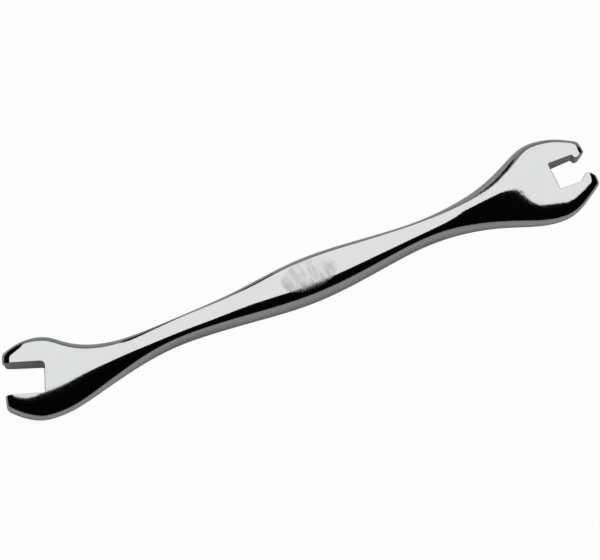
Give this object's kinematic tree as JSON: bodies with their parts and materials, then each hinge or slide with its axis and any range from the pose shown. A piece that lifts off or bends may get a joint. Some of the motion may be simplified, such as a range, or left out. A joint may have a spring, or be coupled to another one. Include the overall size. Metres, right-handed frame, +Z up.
{
  "type": "spoke wrench",
  "caption": "Slim chrome spoke wrench with a plain angled jaw at one end, a hooked jaw at the other and a swelled handle between them.",
  "frame": {"origin": "middle of the wrench's outline seen from above, at the height of the belly's underside, on which it lies", "axes": "+X along the handle, from the plain jaw to the hooked jaw; +Y across the handle, to the side that the plain jaw turns to; +Z up, square to the flat of the wrench"},
  "size_m": [0.1288, 0.0192, 0.0066],
  "materials": {
    "chrome_plate": "bright polished chrome plate over forged steel, with ground jaw walls"
  },
  "bodies": {
    "root": {"wrench_forging": "chrome_plate"}
  },
  "joints": []
}
